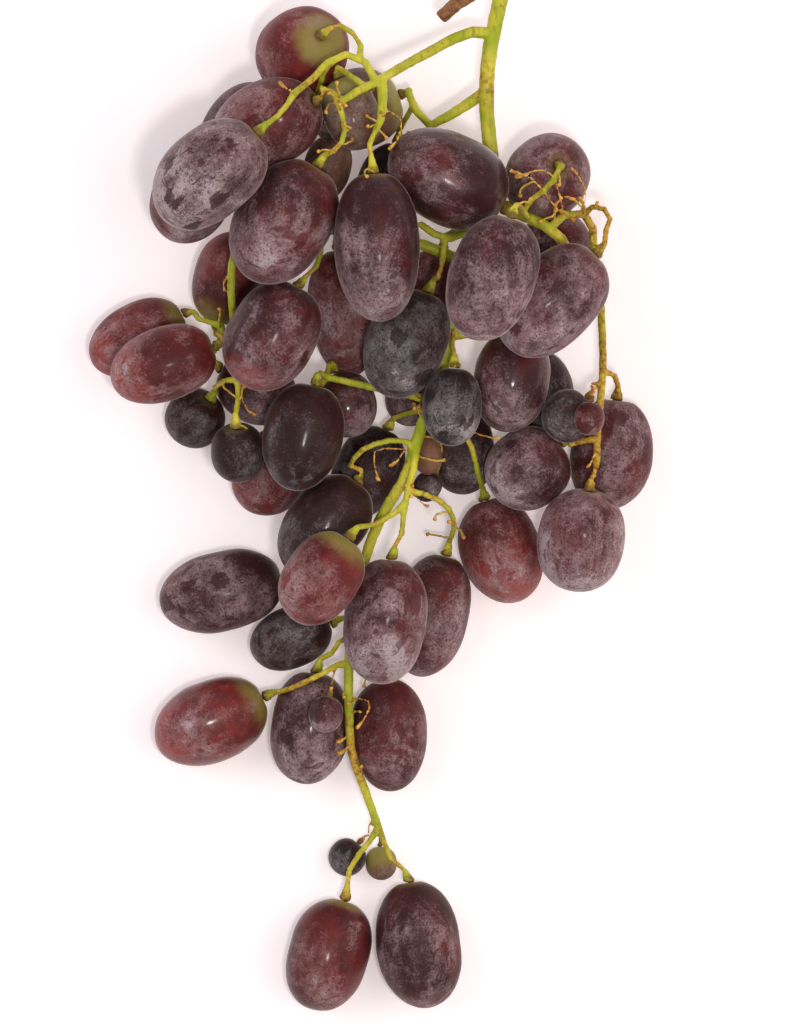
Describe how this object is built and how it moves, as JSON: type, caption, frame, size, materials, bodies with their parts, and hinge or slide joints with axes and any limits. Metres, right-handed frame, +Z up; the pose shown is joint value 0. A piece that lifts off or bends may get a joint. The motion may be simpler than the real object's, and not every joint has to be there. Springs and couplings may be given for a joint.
{
  "type": "bunch of grapes",
  "caption": "Long, tapering bunch of oval red-purple table grapes on its branched green stalk, laid on its side.",
  "frame": {"origin": "on the table under the middle of the bunch's box", "axes": "+Y from the tip of the bunch towards the cut end of its stalk, +Z up from the table, +X to the right as seen from above with the stalk away from the viewer"},
  "size_m": [0.1298, 0.242, 0.0579],
  "materials": {
    "skin_red": "waxy, thin grey bloom",
    "skin_purple": "waxy, dusty grey bloom",
    "skin_dark": "waxy, patchy grey bloom",
    "skin_olive": "waxy, thin grey bloom",
    "stalk": "satin"
  },
  "bodies": {
    "root": {"berry_tip_1": "skin_red", "berry_tip_2": "skin_purple", "berry_tip_3": "skin_dark", "berry_tip_4": "skin_olive", "berry_low_1": "skin_red", "berry_low_2": "skin_purple", "berry_low_3": "skin_purple", "berry_low_4": "skin_purple", "berry_low_5": "skin_dark", "berry_low_6": "skin_purple", "berry_low_7": "skin_dark", "berry_right_1": "skin_red", "berry_right_2": "skin_purple", "berry_right_3": "skin_purple", "berry_middle_1": "skin_dark", "berry_middle_2": "skin_dark", "berry_right_4": "skin_dark", "berry_left_1": "skin_red", "berry_left_2": "skin_red", "berry_left_3": "skin_red", "berry_left_4": "skin_red", "berry_left_5": "skin_purple", "berry_left_6": "skin_purple", "berry_left_7": "skin_dark", "berry_left_8": "skin_dark", "berry_middle_3": "skin_red", "berry_middle_4": "skin_purple", "berry_middle_5": "skin_red", "berry_right_6": "skin_purple", "berry_shoulder_1": "skin_purple", "berry_shoulder_2": "skin_purple", "berry_shoulder_3": "skin_red", "berry_shoulder_4": "skin_olive", "berry_shoulder_5": "skin_olive", "berry_shoulder_6": "skin_olive", "berry_shoulder_10": "skin_dark", "berry_middle_6": "skin_purple", "berry_middle_7": "skin_dark", "berry_middle_8": "skin_olive", "berry_right_7": "skin_purple", "berry_right_8": "skin_dark", "berry_right_9": "skin_red", "berry_right_10": "skin_purple", "berry_right_11": "skin_purple", "berry_left_9": "skin_dark", "berry_middle_9": "skin_dark", "berry_left_10": "skin_purple", "berry_shoulder_7": "skin_red", "berry_upper_1": "skin_purple", "berry_upper_2": "skin_purple", "berry_middle_10": "skin_dark", "berry_shoulder_8": "skin_purple", "berry_shoulder_9": "skin_purple", "berry_middle_11": "skin_purple", "berry_upper_3": "skin_purple", "berry_low_8": "skin_red", "berry_low_9": "skin_purple", "berry_low_10": "skin_purple", "stem": "stalk"}
  },
  "joints": []
}
